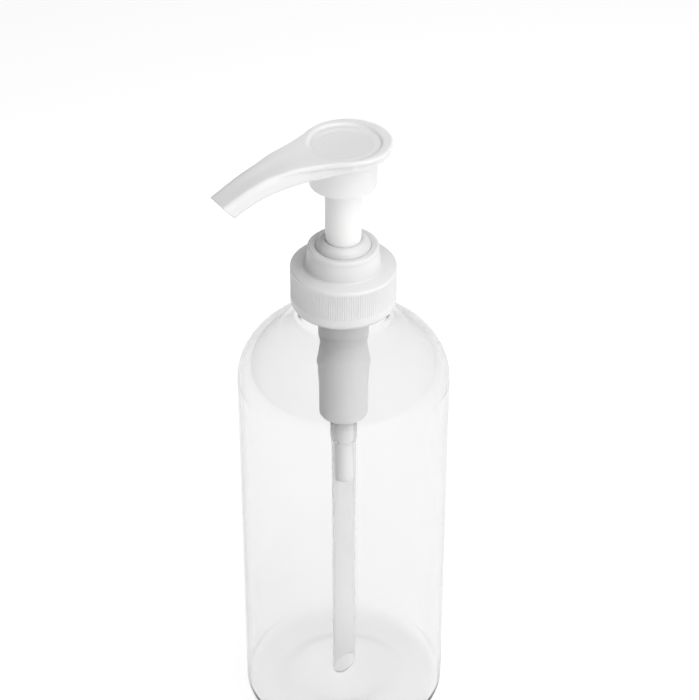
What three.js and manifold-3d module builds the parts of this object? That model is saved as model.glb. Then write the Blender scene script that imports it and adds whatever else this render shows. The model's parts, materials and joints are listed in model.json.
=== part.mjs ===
// Lotion and soap pump on a clear 500 ml bottle with a 28/410 screw neck.
// Millimetres, +Z up. The origin is the centre of the bottle's base, on the pump's axis,
// and the spout points along -Y. Every piece is one closed solid in its own mesh.

import * as THREE from "three";
import { mergeVertices } from "three/addons/utils/BufferGeometryUtils.js";
import Module from "manifold-3d";

const wasm = await Module();
wasm.setup();

// ---------------------------------------------------------------- driving dimensions

// bottle
const BOTTLE_RADIUS = 33.8;
const BOTTLE_WALL = 0.8;
const SHOULDER_START = 130; // height where the straight wall ends
const SHOULDER_RISE = 23.6; // half-ellipse dome above the straight wall
const HEEL_RADIUS = 5;
const BASE_DISC_RADIUS = 10; // flat disc in the middle of the base
const BASE_RING_RADIUS = 24.5; // a smooth groove lies between the disc and this radius
const BASE_GROOVE_DEPTH = 1.4;

// 28/410 neck finish: 6 threads per inch, one and a half turns
const NECK_RADIUS = 12.5;
const NECK_BORE = 10.8;
const THREAD_PITCH = 25.4 / 6;
const NECK_THREAD_CREST = 13.7;
const NECK_THREAD_TURNS = 1.5;
const PLAIN_NECK_RADIUS = 14; // plain part of the neck that enters the closure
const FLARE_RADIUS = 20; // where the dome starts to sweep up into the neck

// heights of the pump are counted from the closure's lower edge
const CLOSURE_Z = 159;
const NECK_TOP = 10.1;
const CLOSURE_RADIUS = 16.5;
const CLOSURE_BORE = 14.2;
const CLOSURE_THREAD_CREST = 13;
const CLOSURE_THREAD_TURNS = 1.25;
const CLOSURE_CEILING = 12.55;
const CLOSURE_EDGE = 13.5; // upper edge of the skirt
const RIB_COUNT = 72;
const RIB_DEPTH = 0.3;
const RIB_BAND = [3.3, 12.5];
const BOSS_TOP = 20.9;
const BOSS_BORE = 9;

const CHAPLET_RADIUS = 8.6;
const CHAPLET_TOP = 23.3;
const STEM_RADIUS = 5.58;
const STEM_BORE = 4.1;
const STEM_FOOT = 1.0;
const STEM_TOP = 52;

const PUMP_BORE = 6.6; // cylinder that the piston works in
const PUMP_FLOOR = -42.8; // underside of the cylinder's floor
const FLOOR_THICKNESS = 1.6;
const TAIL_END = -69.3;
const TAIL_BORE = 1.9;
const BALL_RADIUS = 2.5;
const BALL_GAP = 0.12;
const TUBE_RADIUS = 3.95;
const TUBE_WALL = 0.8;
const TUBE_CLEARANCE = 5; // between the tube's tip and the base

const SPRING_RADIUS = 5.35; // to the middle of the wire
const SPRING_WIRE = 0.5; // radius of the wire
const SPRING_SPAN = [-39.9, -8.45];
const SPRING_TURNS = 8.5;

// actuator head
const COLLAR_FOOT = 43;
const COLLAR_RADIUS = 10.3;
const COLLAR_BORE = 9.3;
const PAD_RADIUS = 13.55;
const PAD_OFFSET = 1.6; // the pad's centre lies behind the stem's axis
const PAD_TOP = 56.9;
const PLATE_THICKNESS = 1.5;
const RIM_ROUNDING = 0.6;
const RECESS_RADIUS = 10.8;
const RECESS_OFFSET = 0.6; // the recess is centred behind the stem's axis as well
const RECESS_FLOOR = 56.1;
const COLLAR_CEILING = 49.5;
const CHAMBER_TOP = 54.2;
const SPOUT_REACH = 43.9; // stem axis to the upper lip of the outlet
const OUTLET_TILT = THREE.MathUtils.degToRad(40); // end face leans out from the vertical
const OUTLET_LIP = 50.3; // height of the outlet's upper lip
const CHANNEL_RADIUS = 1.5;

const LARGE = 36; // facets round the bottle and the closure
const SMALL = 28; // facets round the pump's inner pieces
const SLIVER = 0.01; // joins and cuts may move a surface by this much to lose slivers

// ---------------------------------------------------------------- solids

function solid(geometry) {
  const bare = geometry.clone();
  bare.deleteAttribute("normal");
  bare.deleteAttribute("uv");
  const welded = mergeVertices(bare, 1e-4);
  return new wasm.Manifold(new wasm.Mesh({
    numProp: 3,
    vertProperties: new Float32Array(welded.attributes.position.array),
    triVerts: new Uint32Array(welded.index.array),
  }));
}

function geometryOf(body) {
  const mesh = body.simplify(SLIVER).getMesh();
  const geometry = new THREE.BufferGeometry();
  geometry.setAttribute("position", new THREE.BufferAttribute(mesh.vertProperties, 3));
  geometry.setIndex(new THREE.BufferAttribute(mesh.triVerts, 1));
  geometry.computeVertexNormals();
  return geometry;
}

// A profile is a list of [radius, height], anticlockwise with the radius to the right.
function turned(profile, facets = SMALL) {
  const points = profile.map(([radius, height]) => new THREE.Vector2(radius, height));
  const closed = profile[0][0] > 0 || profile[profile.length - 1][0] > 0;
  if (closed) points.push(points[0].clone());
  return new THREE.LatheGeometry(points, facets).rotateX(Math.PI / 2);
}

function arc(centreR, centreZ, radiusR, radiusZ, fromDegrees, toDegrees, steps) {
  return Array.from({ length: steps + 1 }, (_, i) => {
    const angle = THREE.MathUtils.degToRad(fromDegrees + ((toDegrees - fromDegrees) * i) / steps);
    return [centreR + radiusR * Math.cos(angle), centreZ + radiusZ * Math.sin(angle)];
  });
}

function disc(radius, from, to, facets = SMALL) {
  return turned([[0, from], [radius, from], [radius, to], [0, to]], facets);
}

// Winds a straight bar round the axis: x is the radius, y the height, and z the number of
// turns, counted down from the bar's far end so that its faces still point outwards.
function wound(section, root, turns, stepsPerTurn, climb, fade = () => 1) {
  const steps = Math.ceil(turns * stepsPerTurn);
  const bar = new THREE.ExtrudeGeometry(section, { depth: turns, steps, bevelEnabled: false });
  const position = bar.attributes.position;
  for (let i = 0; i < position.count; i += 1) {
    const turn = turns - position.getZ(i);
    const radius = root + (position.getX(i) - root) * fade(turn);
    const angle = 2 * Math.PI * turn;
    const height = position.getY(i) * fade(turn) + climb(turn);
    position.setXYZ(i, radius * Math.cos(angle), radius * Math.sin(angle), height);
  }
  return bar;
}

// Screw thread ridge between two radii, with both ends run out to nothing.
function thread(rootRadius, crestRadius, rootWidth, crestWidth, turns, startAngle, startHeight) {
  const outline = [
    new THREE.Vector2(rootRadius, -rootWidth / 2),
    new THREE.Vector2(crestRadius, -crestWidth / 2),
    new THREE.Vector2(crestRadius, crestWidth / 2),
    new THREE.Vector2(rootRadius, rootWidth / 2),
  ];
  const section = new THREE.Shape(outline);
  const runOut = 1 / 12;
  const fade = (turn) => Math.max(0.12, Math.min(1, turn / runOut, (turns - turn) / runOut));
  const climb = (turn) => startHeight + THREAD_PITCH * turn;
  return wound(section, rootRadius, turns, 24, climb, fade).rotateZ(startAngle);
}

// ---------------------------------------------------------------- bottle

function shoulderHeight(radius) {
  return SHOULDER_START + SHOULDER_RISE * Math.sqrt(1 - (radius / BOTTLE_RADIUS) ** 2);
}

function basePoints(lift, radii) {
  return radii.map((radius) => {
    const along = Math.max(0, (radius - BASE_DISC_RADIUS) / (BASE_RING_RADIUS - BASE_DISC_RADIUS));
    return [radius, lift + BASE_GROOVE_DEPTH * Math.sin(Math.PI * along) ** 2];
  });
}

function bottle() {
  const inner = BOTTLE_RADIUS - BOTTLE_WALL;
  const neckTop = CLOSURE_Z + NECK_TOP;
  const flareStart = shoulderHeight(FLARE_RADIUS);
  const flareAngle = THREE.MathUtils.radToDeg(Math.acos(FLARE_RADIUS / BOTTLE_RADIUS));
  const innerNeck = PLAIN_NECK_RADIUS - BOTTLE_WALL;
  const baseRadii = [0, BASE_DISC_RADIUS, 13.5, 17.25, 21, BASE_RING_RADIUS];
  const shell = turned([
    ...basePoints(0, baseRadii),
    ...arc(BOTTLE_RADIUS - HEEL_RADIUS, HEEL_RADIUS, HEEL_RADIUS, HEEL_RADIUS, -90, 0, 4),
    ...arc(0, SHOULDER_START, BOTTLE_RADIUS, SHOULDER_RISE, 0, flareAngle, 7),
    [17, flareStart + 1.6],
    [15, flareStart + 3.6],
    [PLAIN_NECK_RADIUS, flareStart + 6.2],
    [PLAIN_NECK_RADIUS, CLOSURE_Z + 0.1],
    [NECK_RADIUS, CLOSURE_Z + 0.2],
    [NECK_RADIUS, neckTop],
    [NECK_BORE, neckTop],
    [NECK_BORE, CLOSURE_Z + 1.4],
    [innerNeck, CLOSURE_Z - 0.8],
    [innerNeck, flareStart + 5.9],
    [14.2, flareStart + 3.1],
    [16.4, flareStart + 0.8],
    ...arc(0, SHOULDER_START, inner, SHOULDER_RISE - BOTTLE_WALL, flareAngle - 1, 0, 6),
    ...arc(inner - HEEL_RADIUS, BOTTLE_WALL + HEEL_RADIUS, HEEL_RADIUS, HEEL_RADIUS, 0, -90, 4),
    ...basePoints(BOTTLE_WALL, baseRadii.toReversed()),
  ], LARGE);
  const lowest = neckTop - 2.7 - NECK_THREAD_TURNS * THREAD_PITCH;
  const ridge = thread(NECK_RADIUS - 0.3, NECK_THREAD_CREST, 2.4, 1, NECK_THREAD_TURNS, 0, lowest);
  return geometryOf(solid(shell).add(solid(ridge)));
}

// ---------------------------------------------------------------- closure

function ribbedBlank() {
  const outline = new THREE.Shape(
    Array.from({ length: 2 * RIB_COUNT }, (_, i) => {
      const angle = (Math.PI * i) / RIB_COUNT;
      const radius = CLOSURE_RADIUS - (i % 2) * RIB_DEPTH;
      return new THREE.Vector2(radius * Math.cos(angle), radius * Math.sin(angle));
    }),
  );
  const [from, to] = RIB_BAND;
  const band = new THREE.ExtrudeGeometry(outline, { depth: to - from, bevelEnabled: false });
  return band.translate(0, 0, from);
}

function closure() {
  const ribRoot = CLOSURE_RADIUS - RIB_DEPTH - 0.1;
  const skin = turned([
    [0, 0],
    [CLOSURE_RADIUS - 0.5, 0],
    [CLOSURE_RADIUS, 0.9],
    [CLOSURE_RADIUS, RIB_BAND[0]],
    [ribRoot, RIB_BAND[0]],
    [ribRoot, RIB_BAND[1]],
    [CLOSURE_RADIUS, RIB_BAND[1]],
    [CLOSURE_RADIUS, CLOSURE_EDGE - 0.3],
    [CLOSURE_RADIUS - 0.4, CLOSURE_EDGE],
    [12.4, 14.1],
    [11.8, 14.5],
    [11.5, 15.6],
    [11.2, 17.6],
    [10.7, 19.4],
    [10.9, 19.8],
    [10.9, BOSS_TOP - 0.3],
    [10.6, BOSS_TOP],
    [0, BOSS_TOP],
  ], LARGE);
  const neckSpace = disc(CLOSURE_BORE, -1, CLOSURE_CEILING, LARGE);
  const bossSpace = disc(BOSS_BORE, 0, BOSS_TOP + 1, LARGE);
  // the closure's ridge lies under the neck's ridge, midway between its turns
  const neckStart = NECK_TOP - 2.7 - NECK_THREAD_TURNS * THREAD_PITCH;
  const startTurn = 0.65;
  const startHeight = neckStart + THREAD_PITCH * (startTurn - 0.5);
  const ridge = thread(
    CLOSURE_BORE + 0.4, CLOSURE_THREAD_CREST, 2.4, 1,
    CLOSURE_THREAD_TURNS, 2 * Math.PI * startTurn, startHeight,
  );
  const body = solid(skin).add(solid(ribbedBlank()))
    .subtract(solid(neckSpace)).subtract(solid(bossSpace)).add(solid(ridge));
  return geometryOf(body);
}

// ---------------------------------------------------------------- pump body

function gasket() {
  return turned([
    [NECK_BORE - 1.2, NECK_TOP + 0.1],
    [13.2, NECK_TOP + 0.1],
    [13.2, NECK_TOP + 1.1],
    [NECK_BORE - 1.2, NECK_TOP + 1.1],
  ], LARGE);
}

function housing() {
  const flange = [NECK_TOP + 1.2, CLOSURE_CEILING - 0.15];
  const floorTop = PUMP_FLOOR + FLOOR_THICKNESS;
  const seat = TAIL_BORE - 0.15;
  const body = turned([
    [TAIL_BORE, TAIL_END],
    [2.8, TAIL_END],
    [3.05, TAIL_END + 1.2],
    [3.05, -54],
    [3.5, -52.6],
    [3.5, PUMP_FLOOR],
    [7.7, PUMP_FLOOR],
    [7.88, PUMP_FLOOR + 0.3],
    [7.88, -31],
    [8.18, -26.5],
    [8.18, -21],
    [7.45, -15.6],
    [7.45, -13.8],
    [8, -11.6],
    [8, flange[0]],
    [13.2, flange[0]],
    [13.2, flange[1]],
    [CHAPLET_RADIUS, flange[1]],
    [CHAPLET_RADIUS, 20.2],
    [7.3, 20.2],
    [7.3, 3],
    [PUMP_BORE, 2.4],
    [PUMP_BORE, floorTop],
    [seat + 1.25, floorTop],
    [seat, floorTop - 1.25],
  ]);
  const vent = new THREE.CylinderGeometry(0.5, 0.5, 4, 10).rotateZ(Math.PI / 2).translate(8, 0, 1.7);
  return geometryOf(solid(body).subtract(solid(vent)));
}

function chaplet() {
  const bore = STEM_RADIUS + 0.22;
  return turned([
    [bore, 4],
    [7.2, 4],
    [7.2, 20.3],
    [CHAPLET_RADIUS, 20.3],
    ...arc(bore + 0.5, 20.7, CHAPLET_RADIUS - bore - 0.5, CHAPLET_TOP - 20.7, 0, 90, 4),
    [bore, CHAPLET_TOP - 0.3],
  ]);
}

function dipTube() {
  const bore = TUBE_RADIUS - TUBE_WALL;
  const tip = TUBE_CLEARANCE - CLOSURE_Z;
  const blank = turned([
    [bore, tip],
    [TUBE_RADIUS, tip],
    [TUBE_RADIUS, -54.6],
    [4.4, -52.8],
    [4.4, PUMP_FLOOR - 0.3],
    [3.6, PUMP_FLOOR - 0.3],
    [3.6, -52.6],
    [bore, -54.3],
  ], 24);
  // slanted tip, so that the tube can't seal against the base
  const slant = new THREE.BoxGeometry(40, 40, 20).translate(0, 0, -10)
    .rotateX(-Math.PI / 5).translate(0, 0, tip + 0.73 * TUBE_RADIUS);
  return geometryOf(solid(blank).subtract(solid(slant)));
}

// ---------------------------------------------------------------- valves and plunger

// height of a ball that rests in a 45 degree seat of the given lower radius
function ballHeight(seatHeight, seatRadius) {
  return seatHeight - seatRadius + BALL_RADIUS * Math.SQRT2 + BALL_GAP;
}

function ball() {
  return new THREE.SphereGeometry(BALL_RADIUS, 16, 10).rotateX(Math.PI / 2);
}

const INLET_SEAT = PUMP_FLOOR + FLOOR_THICKNESS - 1.25;
const INLET_BALL_HEIGHT = ballHeight(INLET_SEAT, TAIL_BORE - 0.15);
const OUTLET_SEAT = 8;
const OUTLET_BALL_HEIGHT = ballHeight(OUTLET_SEAT, 1.75);

function ballCage() {
  const foot = PUMP_FLOOR + FLOOR_THICKNESS + 0.1;
  const cup = turned([
    [3.3, foot],
    [6.4, foot],
    [6.4, foot + 1.1],
    [4.3, foot + 1.1],
    [4.3, foot + 5.7],
    [1.5, foot + 5.7],
    [1.5, foot + 4.7],
    [3.3, foot + 4.7],
  ]);
  const slot = new THREE.BoxGeometry(12, 2, 2.6).translate(0, 0, foot + 2.9);
  const across = slot.clone().rotateZ(Math.PI / 2);
  return geometryOf(solid(cup).subtract(solid(slot)).subtract(solid(across)));
}

function spring() {
  const section = new THREE.Shape();
  const sides = 6;
  section.setFromPoints(Array.from({ length: sides }, (_, i) => new THREE.Vector2(
    SPRING_RADIUS + SPRING_WIRE * Math.cos((2 * Math.PI * i) / sides),
    SPRING_WIRE * Math.sin((2 * Math.PI * i) / sides),
  )));
  const [low, high] = SPRING_SPAN;
  const flat = 0.75; // turns of each closed end
  const closedPitch = 2.1 * SPRING_WIRE;
  const start = low + SPRING_WIRE;
  const openPitch = (high - low - 2 * SPRING_WIRE - 2 * flat * closedPitch) / (SPRING_TURNS - 2 * flat);
  const climb = (turn) => start
    + closedPitch * (Math.min(turn, flat) + Math.max(0, turn - (SPRING_TURNS - flat)))
    + openPitch * Math.min(Math.max(0, turn - flat), SPRING_TURNS - 2 * flat);
  return wound(section, SPRING_RADIUS, SPRING_TURNS, 16, climb);
}

function piston() {
  return turned([
    [4.15, -6.4],
    [6.1, -6.4],
    [6.5, -5.4],
    [6.5, -4.6],
    [5.9, -4],
    [5.9, -1.6],
    [6.5, -1],
    [6.5, -0.2],
    [6.1, 0.8],
    [4.15, 0.8],
  ]);
}

function pistonRod() {
  const seat = 1.75;
  return turned([
    [seat, -14],
    [3.4, -14],
    [4.2, -12.8],
    [4.2, -8.3],
    [5.9, -8.3],
    [5.9, -6.6],
    [3.95, -6.6],
    [3.95, OUTLET_SEAT + 1.4],
    [3.15, OUTLET_SEAT + 1.4],
    [seat, OUTLET_SEAT],
  ]);
}

function stem() {
  const tube = turned([
    [STEM_BORE, STEM_FOOT],
    [STEM_RADIUS, STEM_FOOT],
    [STEM_RADIUS, STEM_TOP],
    [STEM_BORE, STEM_TOP],
  ]);
  const ballStop = new THREE.BoxGeometry(2 * STEM_BORE + 0.6, 1.4, 1.2)
    .translate(0, 0, OUTLET_BALL_HEIGHT + BALL_RADIUS + 2.1);
  return geometryOf(solid(tube).add(solid(ballStop)));
}

// ---------------------------------------------------------------- actuator

// Reach along the spout, half width, crown height and sill height of its sections.
const SPOUT_SECTIONS = [
  [0, 9.0, 55.0, 52.0],
  [6, 9.0, 55.1, 51.9],
  [12, 8.3, 55.3, 51.7],
  [16, 7.2, 55.5, 51.3],
  [20, 6.5, 55.6, 50.9],
  [24, 6.05, 55.6, 50.5],
  [28, 5.75, 55.3, 49.9],
  [32, 5.45, 54.4, 48.75],
  [36, 5.25, 52.9, 47.2],
  [41, 5.05, 50.7, 44.9],
  [46, 4.95, 48.4, 42.4],
];

function spoutCurve(column) {
  return new THREE.SplineCurve(SPOUT_SECTIONS.map((row) => new THREE.Vector2(row[0], row[column])));
}

const SPOUT_WIDTH = spoutCurve(1);
const SPOUT_CROWN = spoutCurve(2);
const SPOUT_SILL = spoutCurve(3);

// Rounded-box sections along -Y: the crown is flatter than the keel.
function spoutBlank() {
  const blank = new THREE.CylinderGeometry(1, 1, 1, 16, 16).rotateZ(Math.PI / 2);
  const position = blank.attributes.position;
  for (let i = 0; i < position.count; i += 1) {
    const along = THREE.MathUtils.clamp(position.getX(i) + 0.5, 0, 1);
    const up = position.getY(i);
    const side = position.getZ(i);
    const power = up > 0 ? 0.55 : 0.75;
    const across = Math.sign(side) * Math.abs(side) ** power;
    const rise = Math.sign(up) * Math.abs(up) ** (up > 0 ? 0.6 : 0.8);
    const { x: reach, y: width } = SPOUT_WIDTH.getPoint(along);
    const crown = SPOUT_CROWN.getPoint(along).y;
    const sill = SPOUT_SILL.getPoint(along).y;
    const middle = sill + 0.3 * (crown - sill);
    const height = up > 0 ? middle + rise * (crown - middle) : middle + rise * (middle - sill + 0.8);
    position.setXYZ(i, -across * width, -reach, height);
  }
  return blank;
}

// Drop-shaped plate: a round pad that narrows along the spout.
function plateOutline(inset) {
  const radius = PAD_RADIUS - inset;
  const leave = 22; // degrees past the pad's middle where its sides leave the circle
  const round = arc(0, PAD_OFFSET, radius, radius, -leave, 180 + leave, 20);
  const [endX, endY] = round[round.length - 1];
  const side = new THREE.SplineCurve([
    [-endX, -endY], [9.85 - inset, 9.6], [8.35 - inset, 13.8], [7.05 - inset, 18.3],
    [6.15 - inset, 22.5], [4.85 - inset, 26.5], [3.6 - inset, 31.5],
  ].map(([width, reach]) => new THREE.Vector2(width, reach))).getPoints(9).slice(1);
  const left = side.map(({ x, y }) => new THREE.Vector2(-x, -y));
  const right = side.map(({ x, y }) => new THREE.Vector2(x, -y)).reverse();
  return new THREE.Shape([...round.map(([x, y]) => new THREE.Vector2(x, y)), ...left, ...right]);
}

// The plate's top runs level over the pad and then droops with the spout.
function droop(reach) {
  return 0.02 * Math.max(0, reach - 18) + 0.0115 * Math.max(0, reach - 19) ** 2;
}

function plate(inset, from, to, rounding) {
  const blank = new THREE.ExtrudeGeometry(plateOutline(inset), {
    depth: to - from - 2 * rounding,
    bevelEnabled: rounding > 0,
    bevelThickness: rounding,
    bevelSize: rounding,
    bevelOffset: -rounding,
    bevelSegments: 2,
  }).translate(0, 0, from + rounding);
  const position = blank.attributes.position;
  for (let i = 0; i < position.count; i += 1) {
    position.setZ(i, position.getZ(i) - droop(-position.getY(i)));
  }
  return blank;
}

// Round recess for the thumb, with a slightly dished floor.
function padRecess() {
  return turned([
    [0, RECESS_FLOOR - 0.25],
    [8.5, RECESS_FLOOR],
    [RECESS_RADIUS, RECESS_FLOOR],
    [RECESS_RADIUS + 0.4, PAD_TOP + 0.1],
    [0, PAD_TOP + 0.1],
  ], LARGE).translate(0, RECESS_OFFSET, 0);
}

function channel() {
  const path = new THREE.CatmullRomCurve3([
    [3.4, 53.65], [7, 53.7], [12, 53.8], [20, 53.5], [28, 52.5], [36, 50], [50, 43.5],
  ].map(([reach, height]) => new THREE.Vector3(0, -reach, height)));
  const bore = new THREE.Shape().absarc(0, 0, CHANNEL_RADIUS, 0, 2 * Math.PI, false);
  return new THREE.ExtrudeGeometry(bore, { extrudePath: path, steps: 12, curveSegments: 5 });
}

function outletCut() {
  const size = 40;
  return new THREE.BoxGeometry(size, size, size).translate(0, -size / 2, 0)
    .rotateX(OUTLET_TILT).translate(0, -SPOUT_REACH, OUTLET_LIP);
}

function actuator() {
  const plateFoot = PAD_TOP - PLATE_THICKNESS;
  const socketRadius = STEM_RADIUS + 0.12;
  const collar = disc(COLLAR_RADIUS, COLLAR_FOOT, plateFoot + 0.2, LARGE);
  const collarSpace = disc(COLLAR_BORE, COLLAR_FOOT - 1, COLLAR_CEILING, LARGE);
  const socket = disc(socketRadius, COLLAR_CEILING - 1, STEM_TOP + 0.1);
  const chamber = disc(STEM_BORE, STEM_TOP, CHAMBER_TOP);
  const body = solid(plate(0, plateFoot, PAD_TOP, RIM_ROUNDING))
    .add(solid(plate(0.55, 53.1, plateFoot + 0.8, 0)))
    .add(solid(spoutBlank()))
    .add(solid(collar))
    .subtract(solid(collarSpace))
    .subtract(solid(socket))
    .subtract(solid(chamber))
    .subtract(solid(channel()))
    .subtract(solid(padRecess()))
    .subtract(solid(outletCut()));
  return geometryOf(body);
}

// ---------------------------------------------------------------- materials

function plastic(colour, roughness) {
  return new THREE.MeshStandardMaterial({ color: colour, roughness, metalness: 0 });
}

const naturalPolypropylene = () => plastic(0xe6e7e5, 0.35);
const whitePolypropylene = () => plastic(0xf2f2f0, 0.4);
const steel = () => new THREE.MeshStandardMaterial({ color: 0xb9bcc0, roughness: 0.25, metalness: 1 });

function clearPet() {
  const material = plastic(0xeef2f3, 0.08);
  material.transparent = true;
  material.opacity = 0.35;
  return material;
}

// ---------------------------------------------------------------- assembly

const dispenser = new THREE.Group();
const pump = new THREE.Group();
pump.position.z = CLOSURE_Z;
dispenser.add(pump);

function place(group, name, geometry, material, height = 0) {
  const mesh = new THREE.Mesh(geometry, material);
  mesh.name = name;
  mesh.position.z = height;
  group.add(mesh);
}

place(dispenser, "bottle", bottle(), clearPet());
place(pump, "closure", closure(), naturalPolypropylene());
place(pump, "gasket", gasket(), plastic(0xdfe0dc, 0.8));
place(pump, "housing", housing(), whitePolypropylene());
place(pump, "chaplet", chaplet(), naturalPolypropylene());
place(pump, "dip_tube", dipTube(), naturalPolypropylene());
place(pump, "inlet_ball", ball(), steel(), INLET_BALL_HEIGHT);
place(pump, "ball_cage", ballCage(), whitePolypropylene());
place(pump, "spring", spring(), steel());
place(pump, "piston", piston(), plastic(0xeeeeea, 0.5));
place(pump, "piston_rod", pistonRod(), whitePolypropylene());
place(pump, "outlet_ball", ball(), steel(), OUTLET_BALL_HEIGHT);
place(pump, "stem", stem(), whitePolypropylene());
place(pump, "actuator", actuator(), naturalPolypropylene());

export default dispenser;
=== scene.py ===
import json
import math

import bpy
import numpy as np
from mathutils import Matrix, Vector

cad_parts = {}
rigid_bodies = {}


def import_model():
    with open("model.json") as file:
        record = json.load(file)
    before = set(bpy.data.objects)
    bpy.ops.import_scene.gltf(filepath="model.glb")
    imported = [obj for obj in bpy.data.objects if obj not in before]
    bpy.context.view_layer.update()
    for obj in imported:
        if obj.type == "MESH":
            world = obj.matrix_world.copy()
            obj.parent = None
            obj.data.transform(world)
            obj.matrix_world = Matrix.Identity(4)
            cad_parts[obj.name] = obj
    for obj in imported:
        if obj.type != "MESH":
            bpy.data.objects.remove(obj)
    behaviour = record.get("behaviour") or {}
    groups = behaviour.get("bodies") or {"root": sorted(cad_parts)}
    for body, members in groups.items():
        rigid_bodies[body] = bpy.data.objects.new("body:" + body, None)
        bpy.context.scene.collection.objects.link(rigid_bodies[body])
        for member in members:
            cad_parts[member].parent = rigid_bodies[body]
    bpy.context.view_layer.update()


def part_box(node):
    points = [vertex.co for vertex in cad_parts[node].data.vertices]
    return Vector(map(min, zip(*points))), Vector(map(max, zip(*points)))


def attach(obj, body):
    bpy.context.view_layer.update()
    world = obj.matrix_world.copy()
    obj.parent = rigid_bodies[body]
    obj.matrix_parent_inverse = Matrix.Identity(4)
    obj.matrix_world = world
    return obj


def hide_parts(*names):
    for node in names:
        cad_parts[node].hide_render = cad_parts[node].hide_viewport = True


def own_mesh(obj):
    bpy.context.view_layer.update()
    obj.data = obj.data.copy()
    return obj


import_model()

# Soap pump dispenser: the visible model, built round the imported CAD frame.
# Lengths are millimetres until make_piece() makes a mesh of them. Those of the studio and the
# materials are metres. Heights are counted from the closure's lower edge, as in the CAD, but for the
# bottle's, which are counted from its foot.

import openvdb
from mathutils import Vector

MM = 0.001
CLOSURE_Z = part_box("closure")[0].z / MM
FINE_TURN = 112  # sides of the turned pieces that show most
PLAIN_TURN = 96

# ------------------------------------------------------------------ driving dimensions

# the head
GRID_STEP = 0.25
HEAD_LOW = np.array([-15.0, -46.5, 42.0])  # corners of the box that the head is worked out in
HEAD_HIGH = np.array([15.0, 16.5, 58.5])
HEAD_CREASE = 50.0

PAD_RADIUS = 13.55
PAD_CENTRE = 1.6  # behind the stem's axis
PLATE_THICKNESS = 1.5
PLATE_EDGES = (0.6, 0.74)  # rounding of the plate's lower and upper edge
PLATE_LEAVE = 22  # degrees past the pad's widest place, where the plate's sides start
BODY_LEAVE = 18
SPOUT_INSET = 0.55  # of the body under the pad, from the plate's edge
RECESS_RADIUS = 10.8
RECESS_CENTRE = 0.6
RECESS_FLOOR = 56.35
RECESS_DRAFT = 0.5
DISH_DEPTH = 0.25
DISH_RADIUS = 8.5
RING_HEIGHT = 0.09
RING_RADIUS = 9.3
RING_HALF_WIDTH = 0.45
GROOVE_DEPTH = 0.06
GROOVE_RADIUS = 7.7
GROOVE_HALF_WIDTH = 0.25

# How far each edge is blended.
PLATE_BLEND = 0.35
COLLAR_BLEND = 0.8
RECESS_BLEND = 0.7
BORE_BLEND = 0.2
PASSAGE_BLEND = 0.12
OUTLET_BLEND = 0.22

# Plate: half width by reach along the spout, beyond the round pad, and then its top's height.
PLATE_SIDE = [
    (3.5, 12.5), (5.6, 11.7), (7.5, 10.75), (9.6, 9.9), (11.6, 9.1), (13.8, 8.4), (16.0, 7.7),
    (18.3, 7.1), (20.5, 6.65), (22.5, 6.25), (24.5, 5.8), (26.5, 5.25), (28.5, 4.75), (31.0, 4.1),
    (34.0, 3.2), (36.0, 1.6),
]
PLATE_HEIGHT = [
    (-20, 56.9), (18, 56.9), (20, 56.85), (22, 56.65), (24, 56.3), (26, 55.95), (28, 55.5),
    (30, 54.95), (32, 54.25), (34, 53.4), (36, 52.4), (46, 47),
]
# Spout's body below the plate: reach, half width, crown, sill.
BODY = [
    (-20, 13.0, 55.4, 53.1), (3, 12.6, 55.4, 53.1), (5.6, 11.2, 55.4, 52.8), (8, 10.0, 55.4, 52.4),
    (10, 9.1, 55.4, 52.0), (12, 8.4, 55.4, 51.7), (14, 7.75, 55.4, 51.5), (16, 7.2, 55.5, 51.3),
    (20, 6.6, 55.7, 50.9), (24, 6.15, 55.85, 50.5), (28, 5.8, 55.4, 49.9), (32, 5.45, 54.4, 48.75),
    (36, 5.25, 52.9, 47.2), (40, 5.05, 51.2, 45.4), (44, 4.95, 49.4, 43.4), (48, 4.9, 47.5, 41.4),
]
# Rounding of the body's upper and lower edges: (reach, reach), (radius, radius).
SHOULDER_ROUNDING = (12, 26), (0.6, 1.9)
KEEL_ROUNDING = (0, 20), (0.9, 1.6)

COLLAR_FOOT = 43.0
COLLAR_ROOT = 54.5  # hidden in the plate
COLLAR_RADIUS = 10.3
COLLAR_EDGE = 0.25
COLLAR_BORE = 9.3
COLLAR_CEILING = 49.5
SOCKET_RADIUS = 5.7
SOCKET_TOP = 52.1
CHAMBER_RADIUS = 4.1
CHAMBER_TOP = 54.2
CHAMBER_EDGE = 0.4
BELOW_HEAD = 40.0  # where the bores start
CHANNEL_RADIUS = 1.5
CHANNEL_PATH = [(3.4, 53.65), (7, 53.7), (12, 53.8), (20, 53.5), (28, 52.5), (36, 50), (50, 43.5)]
OUTLET_TILT = math.radians(40)
OUTLET_TOP = (43.9, 50.3)  # reach and height of the outlet's upper lip

# the bottle
BOTTLE_RADIUS = 33.8
BOTTLE_WALL = 0.8
BOTTLE_TURN = 180  # sides of the turned bottle
SHOULDER_START = 130.0
SHOULDER_RISE = 23.6
HEEL_RADIUS = 5.0
BASE_DISC_RADIUS = 10.0
BASE_RING_RADIUS = 24.5  # a smooth groove lies between the disc and this radius
BASE_GROOVE_DEPTH = 1.4
BASE_FLAT_RADIUS = 27.0
NECK_RADIUS = 12.5
NECK_BORE = 10.8
NECK_TOP = 10.1  # this and the thread count from the closure's lower edge
NECK_STEP = 0.25  # between the rings that carry the thread
PLAIN_NECK_RADIUS = 14.0  # plain part of the neck that enters the closure
PLAIN_NECK_DRAFT = 0.2
FLARE_RADIUS = 20.0  # where the dome starts to sweep up into the neck
THREAD_PITCH = 25.4 / 6
NECK_THREAD_DEPTH = 1.2
NECK_THREAD_TURNS = 1.5
NECK_THREAD_START = NECK_TOP - 2.7 - NECK_THREAD_TURNS * THREAD_PITCH

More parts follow.
